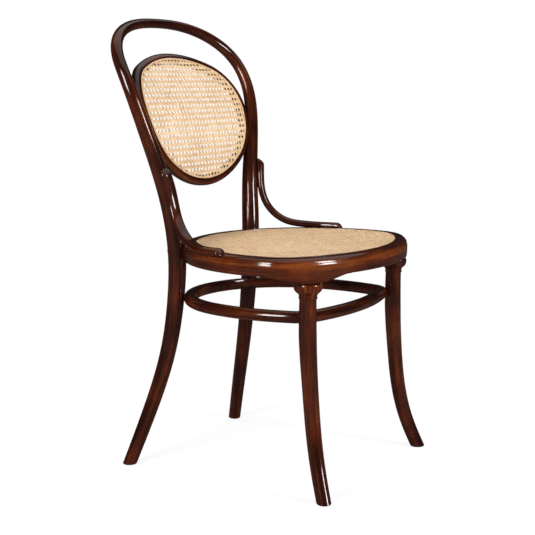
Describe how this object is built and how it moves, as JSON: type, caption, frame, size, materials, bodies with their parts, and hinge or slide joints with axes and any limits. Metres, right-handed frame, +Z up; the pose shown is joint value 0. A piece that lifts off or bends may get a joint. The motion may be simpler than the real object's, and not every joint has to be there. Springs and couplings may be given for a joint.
{
  "type": "bentwood bistro chair",
  "caption": "Bentwood chair with a round-fronted cane seat, an oval cane back panel inside an arched rod, braces and a stretcher hoop.",
  "frame": {"origin": "on the floor, under the centre of the bounding box", "axes": "+Z up, the chair faces -Y, +X to the right seen from the front, symmetric about X = 0"},
  "size_m": [0.4884, 0.5308, 0.864],
  "materials": {
    "shellac_beech": "dark mahogany stain under glossy shellac",
    "woven_cane": "natural woven cane, satin",
    "cane_reed": "natural reed, satin",
    "steel": "dull steel",
    "brass": "aged brass"
  },
  "bodies": {
    "root": {"back_loop": "shellac_beech", "seat_rim": "shellac_beech", "right_leg_block": "shellac_beech", "left_leg_block": "shellac_beech", "right_front_leg": "shellac_beech", "left_front_leg": "shellac_beech", "stretcher_hoop": "shellac_beech", "right_brace": "shellac_beech", "left_brace": "shellac_beech", "back_panel_ring": "shellac_beech", "back_cane": "woven_cane", "seat_cane": "woven_cane", "back_cane_spline": "cane_reed", "seat_cane_spline": "cane_reed", "seat_bolts": "steel", "seat_bolt_washers": "steel", "seat_bolt_nuts": "steel", "hoop_front_screws": "brass", "hoop_back_screws": "brass", "brace_top_screws": "brass", "brace_seat_screws": "brass", "panel_ring_screws": "brass"}
  },
  "joints": []
}
